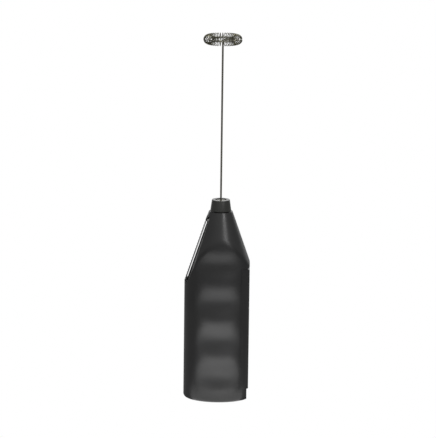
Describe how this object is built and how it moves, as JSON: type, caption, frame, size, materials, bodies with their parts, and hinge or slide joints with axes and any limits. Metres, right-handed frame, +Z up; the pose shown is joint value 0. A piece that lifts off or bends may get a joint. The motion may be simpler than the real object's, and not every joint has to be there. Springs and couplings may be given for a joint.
{
  "type": "milk frother",
  "caption": "Battery-powered hand milk frother with an oval wavy grip, side push lever, battery door and coiled ring whisk on a long wire shaft.",
  "frame": {"origin": "on the base plane, at the centre of the overall footprint", "axes": "+Z up along the whisk shaft, which stands 1.7 mm towards +X; -Y is the front face; +X is the battery cover's side and -X the switch lever's side"},
  "size_m": [0.038, 0.03, 0.2149],
  "materials": {
    "black_plastic": "satin black moulded ABS",
    "collar_plastic": "fine textured black",
    "lever_plastic": "satin black, ribbed",
    "seal_rubber": "matte grey",
    "inner_plastic": "natural, unpolished",
    "cell_wrap": "plain printed film",
    "bright_steel": "nickel plated",
    "whisk_steel": "drawn stainless wire",
    "sintered_bronze": "sintered, oiled",
    "terminal_brass": "stamped",
    "contact_copper": "bare copper alloy",
    "ferrite": "sintered ferrite",
    "red_insulation": "PVC",
    "black_insulation": "PVC"
  },
  "bodies": {
    "housing": {"front_housing": "black_plastic", "rear_housing": "black_plastic", "nose_collar": "collar_plastic", "nose_seal": "seal_rubber", "nose_bush": "sintered_bronze", "lever_pin": "bright_steel", "switch_contact": "contact_copper", "switch_carrier": "inner_plastic", "cell_left": "cell_wrap", "cell_right": "cell_wrap", "base_bridge": "bright_steel", "base_spring": "bright_steel", "top_contact": "bright_steel", "top_spring_plate": "bright_steel", "top_spring": "bright_steel", "contact_bulkhead": "inner_plastic", "motor_can": "bright_steel", "motor_end_cap": "inner_plastic", "motor_front_bush": "sintered_bronze", "motor_rear_bush": "sintered_bronze", "magnet_left": "ferrite", "magnet_right": "ferrite", "terminal_left": "terminal_brass", "terminal_right": "terminal_brass", "motor_cradle": "inner_plastic", "lead_cell_to_switch": "red_insulation", "lead_switch_to_motor": "red_insulation", "lead_motor_to_cell": "black_insulation"},
    "whisk": {"motor_shaft": "bright_steel", "rotor_stack": "bright_steel", "winding_1": "contact_copper", "winding_2": "contact_copper", "winding_3": "contact_copper", "commutator": "contact_copper", "shaft_coupler": "inner_plastic", "whisk_wire": "whisk_steel", "whisk_coil": "whisk_steel"},
    "lever": {"switch_lever": "lever_plastic"},
    "leaf": {"switch_leaf": "contact_copper"},
    "cover": {"battery_cover": "black_plastic"}
  },
  "joints": [
    {"name": "whisk_spin", "type": "hinge", "parent": "housing", "child": "whisk", "pos_m": [0.0017, 0, 0.1], "axis": [0, 0, 1], "continuous": true},
    {"name": "lever_press", "type": "hinge", "parent": "housing", "child": "lever", "pos_m": [-0.00539, 0, 0.10677], "axis": [0, -1, 0], "range_deg": [0, 0.65], "stiffness_Nm_per_rad": 0.3, "springref_deg": -2.86},
    {"name": "leaf_flex", "type": "hinge", "parent": "housing", "child": "leaf", "pos_m": [-0.01438, 0, 0.065], "axis": [0, 1, 0], "range_deg": [0, 4]},
    {"name": "cover_open", "type": "hinge", "parent": "housing", "child": "cover", "pos_m": [0.0182, 0, 0.007], "axis": [0, 1, 0], "range_deg": [0, 60]}
  ],
  "couplings": [
    {"joint": "leaf_flex", "follows": "lever_press", "ratio": 5.43}
  ]
}
